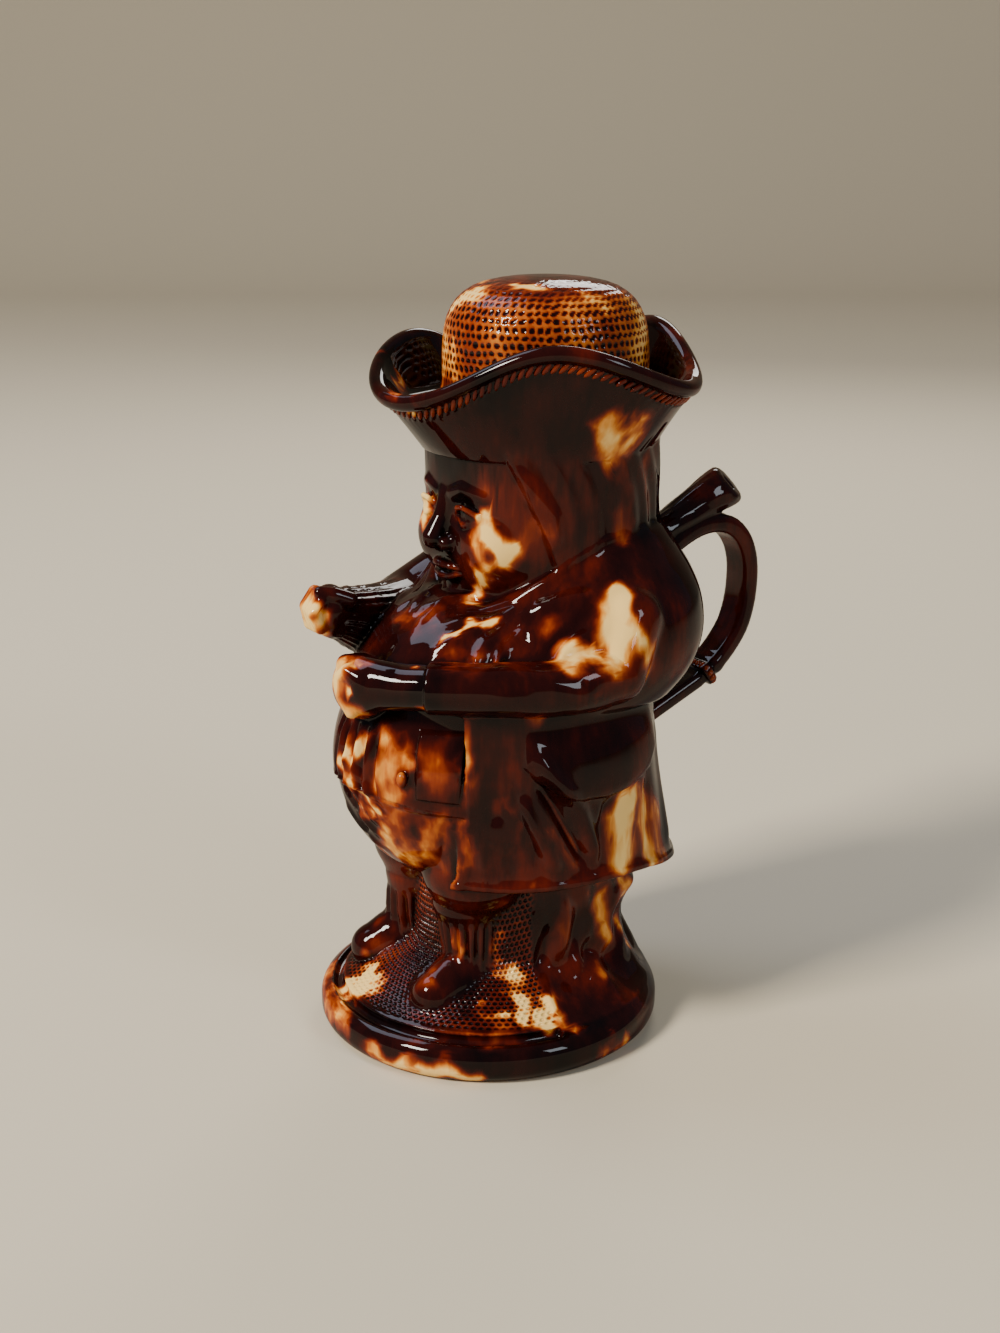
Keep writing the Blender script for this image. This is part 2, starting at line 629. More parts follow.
def hat_surface(turn, z):
    """Radius of the outside of the turned-up brim at a turn and height."""
    height, radius = brim_edge(turn)
    foot = 1 / np.hypot(np.sin(turn) / HAT_FOOT_WIDTH, np.cos(turn) / HAT_FOOT_DEPTH)
    s = (z - HAT_BOTTOM) / (height - HAT_BOTTOM)
    return mix(foot, radius, np.clip(s, -0.3, 1))


def hatching(turn, below_edge):
    """Slanting strokes of the rope pressed under the brim's edge, 0 to 1."""
    slant = np.cos(2 * math.pi * (turn * BRIM_RADIUS + 0.9 * below_edge) / 2.9)
    return np.maximum(slant, -0.3) * smooth(2.2, 3, below_edge) * smooth(7.2, 5.6, below_edge)


def hat(p):
    x, y, z = p
    turn = np.arctan2(x, HEAD_Y - y)
    r = np.hypot(x, y - HEAD_Y)
    height, radius = brim_edge(turn)
    outer = (r - hat_surface(turn, z) - 0.45 * hatching(turn, height - z)) * 0.85
    cone = within(within(outer, z - height, 1), HAT_BOTTOM - z, 0.6)
    inner = (r - hat_surface(turn, z) + BRIM_WALL) * 0.85
    inside = within(inner, LEDGE_HEIGHT - z, 3)
    bead = np.hypot(r - radius + 1.6, z - height + 0.5) - 2.7
    groove = np.hypot(r - hat_surface(turn, z), z - height + 2.9) - 0.5
    return join(carve(carve(cone, inside, 0.8), groove, 0.5), bead, 0.8)


# ---- handle ----------------------------------------------------------------
STRAP = [
    (60, 146), (67, 151.5), (75, 157.5), (84, 161.3), (92, 162), (99, 159.8), (104.2, 154.2),
    (106.8, 147), (107.2, 139), (106.1, 130.5), (103.4, 122.8), (98.4, 116), (93, 110.8),
]
TAIL = [(93, 110.8), (85, 105.7), (68, 98.2), (50, 90)]
COLLAR_OF_HANDLE = (89, 108)
COLLAR_LEAN = (0.83, 0.55)     # how far back and up the strap runs through its collar
THUMB_REST = [
    (58, 155.5, 6, 5), (70, 161, 6.2, 5.2), (80.5, 166.3, 6.6, 5.8), (90, 171, 7.3, 7),
    (97, 173.8, 7.6, 7.4), (103, 176.6, 7.6, 7.4),
]


def beside_path(p, path):
    """Signed distance to the outer side of a path in the x = 0 plane."""
    _, y, z = p
    nearest = np.full(y.shape, 1e3, np.float32)
    for (ay, az), (by, bz) in zip(path, path[1:]):
        length = math.dist((ay, az), (by, bz))
        uy, uz = (by - ay) / length, (bz - az) / length
        t = np.clip((y - ay) * uy + (z - az) * uz, 0, length)
        gy, gz = y - ay - t * uy, z - az - t * uz
        gap = np.hypot(gy, gz)
        side = np.where(gz * uy - gy * uz < 0, -1.0, 1.0)
        nearest = np.where(gap < np.abs(nearest), gap * side, nearest)
    return nearest


def rounded_bar(across, depth, half_width, half_depth, corner):
    qx = np.abs(across) - half_width + corner
    qy = np.abs(depth) - half_depth + corner
    return np.hypot(np.maximum(qx, 0), np.maximum(qy, 0)) + np.minimum(np.maximum(qx, qy), 0) - corner


def handle(p):
    x, y, z = p
    depth = beside_path(p, rounded(STRAP))
    spine = 0.5 * np.exp(-((x / 1.3) ** 2)) + 0.35 * np.exp(-(((np.abs(x) - 4.4) / 0.9) ** 2))
    strap = rounded_bar(x, depth, HANDLE_HALF_WIDTH, HANDLE_HALF_THICKNESS, 2.4) - spine * (depth > 0)
    tail_depth = beside_path(p, TAIL)
    tail = rounded_bar(x, tail_depth, HANDLE_HALF_WIDTH - 0.3, HANDLE_HALF_THICKNESS - 0.3, 2.2)
    cy, cz = COLLAR_OF_HANDLE
    back, up = COLLAR_LEAN
    along = (y - cy) * back + (z - cz) * up
    out = -(y - cy) * up + (z - cz) * back
    ring = rounded_bar(x, out, HANDLE_HALF_WIDTH + 1, HANDLE_HALF_THICKNESS + 1.1, 2.6)
    collar = within(ring, np.abs(along) - 1.8, 1)
    return join(join(join(strap, tail, 1.5), collar, 0.8), thumb_rest(p), 1.6)


def thumb_rest(p):
    x, y, z = p
    path = [(py, pz) for py, pz, _, _ in THUMB_REST]
    depth = beside_path(p, path)
    sizes = through([(py, w, t) for py, _, w, t in THUMB_REST])
    width, thick = sizes(np.clip(y, path[0][0], path[-1][0]))
    round_it = np.arctan2(depth, x)
    bark = 0.10 * np.cos(13 * round_it + 0.25 * y) + 0.16 * np.sin(0.42 * y + 3 * round_it)
    branch = (np.hypot(x / width, depth / thick) - 1) * np.minimum(width, thick) - bark
    beyond = 0.46 * (x - 1) + 0.60 * (y - 99.2) + 0.655 * (z - 175.6)
    mouth = egg(p, (3.2, 98.6, 178), (3.1, 3.1, 4.8))
    branch = within(branch, beyond, 2.4)
    return carve(branch, mouth, 1)


def rounded(path, steps=3):
    """The path with its corners cut into curves by Catmull-Rom steps."""
    points = [path[0], *path, path[-1]]
    smoothed = []
    for a, b, c, d in zip(points, points[1:], points[2:], points[3:]):
        for k in range(steps):
            t = k / steps
            smoothed.append(tuple(
                0.5 * (2 * b[i] + (c[i] - a[i]) * t + (2 * a[i] - 5 * b[i] + 4 * c[i] - d[i]) * t * t
                       + (3 * b[i] - a[i] - 3 * c[i] + d[i]) * t**3)
                for i in range(2)
            ))
    return smoothed + [path[-1]]


# ---- the hollow inside -----------------------------------------------------
HOLLOW_FLOOR = 6
HOLLOW = through([
    (HOLLOW_FLOOR, 1, 44, 44),
    (13, 3, 41, 42),
    (25, 10.5, 30, 32.5),
    (40, 12, 29, 31.5),
    (56, 13.5, 31.5, 34),
    (69, 9.6, 43, 45),
    (90, 2.5, 43.5, 49),
    (112, 3.5, 43.5, 46.5),
    (126, 11.5, 46, 48),
    (140, 20, 45.5, 43),
    (149, 27, 40.5, 33.5),
    (157, 27.5, 33.5, 30),
    (168, HEAD_Y, 30, 33),
    (185, HEAD_Y, 30.5, 33.5),
    (204, HEAD_Y, 32, 33),
    (207.5, LID_Y, MOUTH_RADIUS, MOUTH_RADIUS),
    (214, LID_Y, MOUTH_RADIUS, MOUTH_RADIUS),
])


def hollow(p):
    return within(stack(HOLLOW, p, 2), HOLLOW_FLOOR - p[2], 3)


# ---- pits pressed into the clay --------------------------------------------
def dimples(across, up, pitch):
    """Round pits in staggered rows: 0 on the land, 1 at the bottom of a pit."""
    row = np.floor(up / pitch)
    u = across / pitch + 0.5 * np.mod(row, 2)
    du = u - np.floor(u) - 0.5
    dv = up / pitch - row - 0.5
    return smooth(0.47, 0.14, np.hypot(du, dv))


def pitted_ground(p):
    """1 on the front of the stand that is pitted all over, 0 elsewhere."""
    x, y, z = p
    r = np.hypot(x, y)
    on_mound = smooth(48.8, 47.6, r) * smooth(12.4, 13.2, z)
    return on_mound * smooth(61, 57, z) * (1 - behind_seam(p))


def bare_ground(p):
    """The pitted ground again, less what the legs and shoes cover."""
    clear = np.minimum(np.minimum(legs(p), shoes(p)), waistcoat(p))
    return pitted_ground(p) * smooth(0.5, 1.3, clear)


def ground_pits(p):
    x, y, z = p
    turn = np.arctan2(x, -y)
    down = 0.85 * np.hypot(x, y) - 0.95 * z
    waver = 0.25 * np.sin(9 * turn) + 0.2 * np.sin(0.5 * down + 3 * turn)
    return PIT_DEPTH * dimples(turn * 38, down + waver, PIT_PITCH) * pitted_ground(p)


# ---- the whole jug ---------------------------------------------------------
# Each form with the heights it lies between.
FORMS = (
    (stand, -9, 68, 2.0),
    (legs, 20, 108, 2.0),
    (waistcoat, 50, 142, 1.0),
    (skirts, 53, 124, 1.0),
    (shoulders, 90, 176, 2.0),
    (left_arm, 115, 160, 1.4),
    (right_arm, 118, 166, 1.4),
    (hair, 142, 201, 2.0),
    (face, 143, 201, 1.2),
    (shoes, 12, 42, 1.6),
    (hat, 190, 236, 0.6),
    (handle, 84, 186, 1.6),
)


def jug(p):
    """The distance to the jug's skin: every form joined, pitted, and hollowed out."""
    low, high = float(p[2].min()) - 6, float(p[2].max()) + 6
    solid = np.full(p[0].shape, 60, np.float32)
    for form, bottom, top, fillet in FORMS:
        if bottom < high and top > low:
            solid = join(solid, form(p).astype(np.float32), fillet)
    solid = within(solid, -p[2], 0.2)
    return carve(solid, hollow(p).astype(np.float32), 0.8)


# ---- skinning a field of distances -----------------------------------------
def sample_grid(form, low, high, step):
    """Distances on a grid of points; blocks far from the skin only keep their sign."""
    block = 6
    count = [int(math.ceil((h - l) / step / block)) * block for l, h in zip(low, high)]
    axes = [l + step * np.arange(n, dtype=np.float32) for l, n in zip(low, count)]
    centres = [axis[block // 2::block] for axis in axes]
    coarse_points = np.meshgrid(*centres, indexing="ij")
    coarse = in_slabs(form, tuple(c.ravel() for c in coarse_points)).reshape(coarse_points[0].shape)
    near = np.abs(coarse) < 1.6 * step * block
    field = np.repeat(np.repeat(np.repeat(coarse, block, 0), block, 1), block, 2)
    mask = np.repeat(np.repeat(np.repeat(near, block, 0), block, 1), block, 2)
    ix, iy, iz = np.nonzero(mask)
    field[mask] = in_slabs(form, (axes[0][ix], axes[1][iy], axes[2][iz]))
    return field, np.array(low, np.float32)


def skin(field, low, step):
    """A closed quad mesh on the zero level of a grid of distances: one point to a crossed cell."""
    inside = field < 0
    corners = [(i, j, k) for i in (0, 1) for j in (0, 1) for k in (0, 1)]
    shape = tuple(n - 1 for n in field.shape)

    def corner(of, c):
        return of[c[0]:c[0] + shape[0], c[1]:c[1] + shape[1], c[2]:c[2] + shape[2]]

    filled = sum(corner(inside, c).astype(np.int8) for c in corners)
    active = (filled > 0) & (filled < 8)
    cells = np.argwhere(active)
    number = np.full(shape, -1, np.int32)
    number[active] = np.arange(len(cells), dtype=np.int32)
    values = {c: corner(field, c)[active] for c in corners}
    total = np.zeros((len(cells), 3), np.float32)
    crossed = np.zeros(len(cells), np.float32)
    for a in corners:
        for axis in range(3):
            if a[axis]:
                continue
            b = tuple(1 if n == axis else a[n] for n in range(3))
            change = (values[a] < 0) != (values[b] < 0)
            t = values[a] / np.where(change, values[a] - values[b], 1)
            place = np.array(a, np.float32)[None, :].repeat(len(cells), 0)
            place[:, axis] = t
            total += place * change[:, None]
            crossed += change
    points = low + step * (cells + total / crossed[:, None])

    quads = []
    for axis in range(3):
        right, up = (axis + 1) % 3, (axis + 2) % 3
        start = [slice(None)] * 3
        end = [slice(None)] * 3
        start[axis], end[axis] = slice(0, -1), slice(1, None)
        a, b = inside[tuple(start)], inside[tuple(end)]
        edges = np.argwhere(a != b)
        keep = (edges[:, right] > 0) & (edges[:, up] > 0)
        keep &= (edges[:, right] < shape[right]) & (edges[:, up] < shape[up])
        edges = edges[keep]
        ring = []
        for dr, du in ((-1, -1), (0, -1), (0, 0), (-1, 0)):
            cell = edges.copy()
            cell[:, right] += dr
            cell[:, up] += du
            ring.append(number[cell[:, 0], cell[:, 1], cell[:, 2]])
        quad = np.stack(ring, 1)
        leaving = a[edges[:, 0], edges[:, 1], edges[:, 2]]
        quad[~leaving] = quad[~leaving][:, ::-1]
        quads.append(quad)
    return points, np.concatenate(quads)


def halved(points, quads):
    """Every quad cut in four."""
    sides = np.sort(np.stack([quads, np.roll(quads, -1, 1)], 2).reshape(-1, 2), 1)
    keys = sides[:, 0].astype(np.int64) * len(points) + sides[:, 1]
    unique, first, which = np.unique(keys, return_index=True, return_inverse=True)
    middles = points[sides[first]].mean(1)
    centres = points[quads].mean(1)
    side = which.reshape(-1, 4) + len(points)
    centre = np.arange(len(quads)) + len(points) + len(unique)
    small = [np.stack([quads[:, k], side[:, k], centre, side[:, k - 1]], 1) for k in range(4)]
    return np.concatenate([points, middles, centres]), np.concatenate(small)


def mesh_object(name, points, faces):
    """A mesh object from points in millimetres and faces of one size."""
    mesh = bpy.data.meshes.new(name)
    size = faces.shape[1]
    mesh.vertices.add(len(points))
    mesh.vertices.foreach_set("co", (points * MM).astype(np.float32).ravel())
    mesh.loops.add(faces.size)
    mesh.loops.foreach_set("vertex_index", faces.astype(np.int32).ravel())
    mesh.polygons.add(len(faces))
    mesh.polygons.foreach_set("loop_start", np.arange(0, faces.size, size, dtype=np.int32))
    mesh.update(calc_edges=True)
    mesh.validate()
    piece = bpy.data.objects.new(name, mesh)
    bpy.context.scene.collection.objects.link(piece)
    return piece


def cut_finer(piece, where):
    """Cuts in four each face in the places wanted."""
    shape = bmesh.new()
    shape.from_mesh(piece.data)
    middles = np.array([face.calc_center_median() for face in shape.faces], np.float32) / MM
    wanted = where((middles[:, 0], middles[:, 1], middles[:, 2])) > 0.02
    shape.faces.ensure_lookup_table()
    edges = {edge for i in np.nonzero(wanted)[0] for edge in shape.faces[i].edges}
    bmesh.ops.subdivide_edges(shape, edges=list(edges), cuts=1, use_grid_fill=True)
    shape.to_mesh(piece.data)
    shape.free()


def lay_on_skin(piece, form):
    """Slides the piece's points on to the form's skin."""
    points = settled(form, points_of(piece), 0.22, 2)
    piece.data.vertices.foreach_set("co", (points * MM).astype(np.float32).ravel())
    piece.data.update()


def thinned(piece, triangles):
    """The piece with its flatter faces merged until the triangle budget is met."""
    now = sum(len(face.vertices) - 2 for face in piece.data.polygons)
    if now <= triangles:
        return piece
    modifier = piece.modifiers.new("thin", "DECIMATE")
    modifier.ratio = triangles / now
    evaluated = piece.evaluated_get(bpy.context.evaluated_depsgraph_get())
    lean = bpy.data.meshes.new_from_object(evaluated)
    piece.modifiers.clear()
    heavy = piece.data
    piece.data = lean
    bpy.data.meshes.remove(heavy)
    return piece


def points_of(piece):
    flat = np.empty(len(piece.data.vertices) * 3, np.float32)
    piece.data.vertices.foreach_get("co", flat)
    return flat.reshape(-1, 3) / MM


def give_normals(piece, normals):
    piece.data.polygons.foreach_set("use_smooth", np.ones(len(piece.data.polygons), bool))
    piece.data.normals_split_custom_set_from_vertices(normals.tolist())


def give_attribute(piece, name, values):
    layer = piece.data.attributes.new(name, "FLOAT", "POINT")
    layer.data.foreach_set("value", np.asarray(values, np.float32))


# ---- glaze: where it pools, where it thins, and where the light splashes fell 
# Splashes of light glaze: rows of one end, the other end, radius, and how pale it runs (1 is cream).
JUG_SPLASHES = (
    ((41, 17, 211), (38, 24, 200), 5.0, 0.66), ((43, 28, 209), (38.5, 30, 200), 4.0, 0.64),
    ((36, 28, 196), (35, 31, 172), 4.0, 0.40), ((33, 40, 190), (31, 42, 176), 3.5, 0.34),
    ((-34, -19, 219), (-18, -25, 213), 3.6, 0.9), ((-22, -18, 208), (-14, -14, 200), 4.0, 0.6),
    ((10, -29, 216), (-6, -32, 214), 2.6, 0.5),
    ((19, -12.5, 174), (25.5, -8.5, 170), 3.2, 0.95), ((20, -11, 168), (17, -12, 158), 3.6, 0.9),
    ((17, -13, 157), (11, -12.5, 151.5), 3.4, 0.85), ((-12, -15, 181), (-13, -14, 172), 4.0, 0.9),
    ((-17.5, -57, 149), (-18.5, -57, 142), 5.0, 0.95),
    ((8, -57, 135), (2, -58, 127), 5.0, 0.72), ((4, -58, 124), (11, -55, 117), 4.6, 0.68),
    ((13, -55, 134), (10, -57, 128), 2.0, 0.86), ((-4, -56, 130), (-4, -54, 120), 5.0, 0.7),
    ((47, 17.5, 156), (49, 19, 148), 4.2, 1.0), ((51, 17, 146), (53.5, 14, 138), 5.4, 0.88),
    ((51, 6, 140), (48, -3, 137), 4.2, 0.72), ((53, 22, 144), (52, 25, 134), 4.4, 0.74),
    ((50, 4, 126), (46, -12, 124), 3.2, 0.5), ((55, 12, 136), (53, 8, 129), 4.0, 0.62),
    ((29, -41.5, 137), (30, -41.5, 125), 1.3, 0.6),
    ((26, -15, 147.5), (21, -29, 143.5), 1.9, 0.95), ((17, -34, 143), (19, -31, 144), 1.6, 0.75),
    ((17, -48, 113), (18, -48, 94), 4.4, 0.56), ((23.5, -45, 113), (24, -45, 103), 2.6, 0.52),
    ((20, -47.5, 106), (21, -46.5, 94), 4.6, 0.5), ((8, -52, 113), (4, -53, 100), 2.4, 0.84),
    ((3, -53, 112), (-2, -53, 96), 2.4, 0.80), ((2, -53, 98), (13, -50, 85), 2.2, 0.80),
    ((0, -53, 93), (8, -50, 82), 2.0, 0.7), ((30, -38, 88), (24, -36, 68), 4.8, 0.5),
    ((20, -43, 86), (15, -39, 66), 5.4, 0.50), ((12, -44, 80), (9, -41, 70), 3.4, 0.6),
    ((47, 24, 84), (47.5, 21, 66), 5.4, 0.74), ((44, 33, 84), (43, 35, 64), 4.6, 0.62),
    ((40, 41, 80), (40, 41.5, 64), 4.4, 0.54), ((46, 30, 88), (45, 31, 84), 3.4, 0.42),
    ((-12.5, -42, 18.5), (-7, -46, 15), 4.4, 1.0), ((-15, -48, 14), (-9, -50, 13), 3.6, 0.9),
    ((-5, -43, 19), (-1, -42, 19.5), 3.0, 0.8),
    ((37, -10, 23.5), (42, -14, 18), 3.2, 0.8), ((45.5, -7, 17.5), (43, -3, 20), 3.6, 0.95),
    ((30, -13, 28.5), (34, -9, 26), 2.8, 0.8), ((49, -6, 14.5), (50, -1, 14.5), 3.0, 0.9),
    ((36, -22, 19), (40, -20, 17.5), 2.4, 0.7),
    ((-36, -44, 10), (-24, -52, 9), 4.5, 0.50), ((-16, -55.5, 11), (2, -58, 8), 4.0, 0.48),
    ((16, -55.5, 4.5), (30, -49.5, 2.5), 3.0, 0.68), ((35, -46, 3.5), (46, -35, 2), 3.4, 0.72),
    ((55.5, 12, 3), (53, 22, 3), 3.4, 0.5),
    ((-52, 14, 9), (-48, 30, 4), 6.0, 0.7), ((-30, 49, 8), (-10, 57, 5), 5.0, 0.75),
    ((36, 24, 56), (34, 26, 30), 3.0, 0.56), ((31, 34, 56), (29, 38, 26), 3.0, 0.60),
    ((41, 30, 22), (45, 33, 13), 3.0, 0.46), ((37, 18, 48), (40, 22, 22), 2.4, 0.5),
    ((20, -26, 42), (20, -24, 30), 2.4, 0.42), ((27, -14, 42), (26, -12, 30), 2.4, 0.42),
    ((35, -10, 50), (33, -8, 32), 3.0, 0.36), ((33, -16, 56), (34, -12, 40), 2.6, 0.34),
    ((-48, 10, 152), (-52, 24, 138), 7.0, 0.85), ((-46, 30, 84), (-46, 31, 66), 6.5, 0.66),
    ((-28, 50, 80), (-26, 52, 62), 6.0, 0.6), ((8, 62, 150), (20, 60, 138), 6.0, 0.6),
    ((-36, 34, 208), (-33, 38, 196), 6.0, 0.66), ((-28, 46, 184), (-26, 46, 168), 4.0, 0.4),
    ((-24, -42, 96), (-20, -44, 82), 5.5, 0.7), ((-40, -18, 88), (-40, -18, 70), 5.0, 0.5),
    ((0, 56, 214), (16, 52, 208), 5.0, 0.6), ((10, 60, 108), (6, 62, 90), 5.0, 0.5),
    ((45, 2, 156), (42, -14, 144), 6.0, 0.36), ((36, -26, 140), (26, -30, 141), 6.0, 0.38),
    ((37, -29, 114), (33, -30, 66), 3.0, 0.40), ((43, -18, 90), (45, -12, 68), 2.4, 0.38),
    ((47, -6, 84), (47, 2, 68), 2.0, 0.36), ((32, -40, 112), (33, -38, 98), 4.6, 0.42),
    ((28, -4, 188), (22, -12, 186), 7.0, 0.34), ((30, 2, 176), (26, -6, 168), 5.0, 0.36),
    ((48, -8, 132), (30, -36, 133), 4.4, 0.36), ((17.5, -34, 23), (17.5, -24, 26), 5.0, 0.42),
    ((-18, -34, 23), (-18, -24, 26), 5.0, 0.36), ((38, 12, 50), (36, 6, 30), 5.0, 0.34),
    ((48, -18, 12), (30, -42, 12), 5.0, 0.34), ((-40, 20, 120), (-46, 0, 112), 9.0, 0.38),
    ((-46, 10, 90), (-46, 0, 70), 8.0, 0.36), ((10, 57, 190), (-10, 57, 176), 9.0, 0.34),
    ((0, -30, 144), (8, -28, 145), 5.0, 0.34), ((0, -40, 66), (0, -30, 56), 6.0, 0.34),
)
LID_SPLASHES = (
    ((-7, -4, 242), (-2, -2, 246), 4.0, 0.9), ((-14, 6, 247), (-8, 6, 248.6), 3.0, 0.66),
    ((8, 6, 249.5), (15, 9, 248.6), 2.8, 0.84), ((24, 18, 245), (27, 24, 243), 3.0, 0.46),
    ((-12, -8, 232), (-11, -8, 218), 4.2, 0.5), ((-4, -11, 226), (0, -11, 216), 3.4, 0.45),
    ((26, 44, 243), (30, 40, 226), 6.0, 0.5), ((-20, 40, 246), (-28, 34, 236), 6.0, 0.8),
    ((4, 50, 242), (12, 53, 230), 6.0, 0.6), ((-31, 16, 236), (-33, 20, 224), 5.0, 0.55),
)


def splash_field(points, splashes):
    """How pale the nearest splash makes each point: full in its middle, 0 where its torn edge ends."""
    x, y, z = points.T
    torn = points + np.stack([
        1.5 * np.sin(0.41 * y + 0.23 * z) + 0.8 * np.sin(0.9 * z - 0.7 * y),
        1.5 * np.sin(0.37 * x - 0.29 * z + 1) + 0.8 * np.sin(1.1 * x + 0.6 * z),
        2.4 * np.sin(0.33 * x + 0.27 * y + 2) + 1.6 * np.sin(0.83 * x - 0.71 * y),
    ], 1)
    pale = np.zeros(len(points), np.float32)
    for start, end, radius, strength in splashes:
        line = np.array(end, np.float32) - np.array(start, np.float32)
        t = np.clip((torn - start) @ line / (line @ line), 0, 1)
        gap = np.linalg.norm(torn - start - t[:, None] * line, axis=1) / radius
        pale = np.maximum(pale, strength * np.clip((2.0 - gap) / 1.6, 0, 1))
    return pale


def glaze_marks(piece, form, points, normals, splashes):
    """Vertex attributes: pool in the hollows, bare on the ridges, splash where light glaze fell."""
    def probe(distance):
        at = points + normals * distance
        return in_slabs(form, (at[:, 0], at[:, 1], at[:, 2]))

    deep = np.clip(1 - probe(2.2) / 2.2, 0, 1)
    fine = np.clip(1 - probe(0.7) / 0.7, 0, 1)
    ridge = np.clip(1 + probe(-1.5) / 1.5, 0, 1)
    give_attribute(piece, "pool", np.clip(0.65 * deep + 0.6 * fine, 0, 1))
    give_attribute(piece, "ridge", ridge)
    give_attribute(piece, "splash", splash_field(points, splashes))


# ---- node trees written as expressions -------------------------------------
class Term:
    """One value in a node tree: Python arithmetic on it adds Math nodes."""

    def __init__(self, nodes, socket):
        self.nodes, self.socket = nodes, socket

    def output(self, name):
        return Term(self.nodes, self.socket.node.outputs[name])

    def maths(self, operation, *values):
        return self.nodes.add("ShaderNodeMath", {"operation": operation}, *values)

    def __add__(self, other):
        return self.maths("ADD", self, other)

    def __radd__(self, other):
        return self.maths("ADD", other, self)

    def __sub__(self, other):
        return self.maths("SUBTRACT", self, other)

    def __rsub__(self, other):
        return self.maths("SUBTRACT", other, self)

    def __mul__(self, other):
        return self.maths("MULTIPLY", self, other)

    def __rmul__(self, other):
        return self.maths("MULTIPLY", other, self)

    def __truediv__(self, other):
        return self.maths("DIVIDE", self, other)

    def __rtruediv__(self, other):
        return self.maths("DIVIDE", other, self)


class Nodes:
    """Adds nodes to one tree: settings first, then the values or links of the sockets in order."""

    def __init__(self, tree):
        self.tree = tree

    def add(self, kind, settings=None, *values, **named):
        node = self.tree.nodes.new(kind)
        for name, setting in (settings or {}).items():
            setattr(node, name, setting)
        sockets = [socket for socket in node.inputs if socket.enabled]
        by_name = {socket.name.replace(" ", "_"): socket for socket in reversed(sockets)}
        wanted = [*zip(sockets, values), *((by_name[name], value) for name, value in named.items())]
        for socket, value in wanted:
            if isinstance(value, Term):
                self.tree.links.new(value.socket, socket)
            elif value is not None:
                socket.default_value = value
        outputs = [socket for socket in node.outputs if socket.enabled]
        return Term(self, outputs[0]) if outputs else None

    def ramp(self, value, low, high):
        """0 below low, 1 above high, smooth between."""
        eased = {"interpolation_type": "SMOOTHSTEP"}
        return self.add("ShaderNodeMapRange", eased, value, low, high, 0.0, 1.0)

    def clamp(self, value):
        return self.add("ShaderNodeClamp", None, value, 0.0, 1.0)

    def blend(self, factor, first, second):
        """From the first colour to the second."""
        return self.add("ShaderNodeMix", {"data_type": "RGBA"}, factor, first, second)

    def noise(self, place, scale, detail=3.0, roughness=0.5):
        return self.add(
            "ShaderNodeTexNoise", None, Vector=place, Scale=scale, Detail=detail, Roughness=roughness,
        )


def colour(code):
    """A colour from its screen code, as linear light."""
    channels = [int(code[i:i + 2], 16) / 255 for i in (0, 2, 4)]
    return (*[c / 12.92 if c < 0.04045 else ((c + 0.055) / 1.055) ** 2.4 for c in channels], 1.0)


# ---- glaze -----------------------------------------------------------------
# Glaze colours from thin to deep: where each starts and ends taking over, and its colour.
GLAZE_COLOURS = (
    (0.10, 0.30, "d98f34"),
    (0.26, 0.42, "ac5716"),
    (0.38, 0.54, "7c2c0b"),
    (0.50, 0.68, "4e1206"),
    (0.64, 0.82, "240705"),
    (0.78, 1.0, "0a0303"),
)
CREAM = "f0c878"
BISCUIT = "c9a77a"


def pressed_pits(n, place):
    """The ground's pits again, so that the glaze lies dark in each: 1 at the bottom of a pit."""
    at = n.add("ShaderNodeSeparateXYZ", None, place)
    x, y, z = at.output("X") / MM, at.output("Y") / MM, at.output("Z") / MM
    turn = x.maths("ARCTAN2", x, 0 - y)
    down = 0.85 * x.maths("SQRT", x * x + y * y) - 0.95 * z
    waver = 0.25 * x.maths("SINE", 9 * turn) + 0.2 * x.maths("SINE", 0.5 * down + 3 * turn)
    up = (down + waver) / PIT_PITCH
    row = x.maths("FLOOR", up)
    across = 38 * turn / PIT_PITCH + 0.5 * x.maths("FLOORED_MODULO", row, 2.0)
    beside = x.maths("FRACT", across) - 0.5
    above = x.maths("FRACT", up) - 0.5
    return n.ramp(x.maths("SQRT", beside * beside + above * above), 0.47, 0.2)


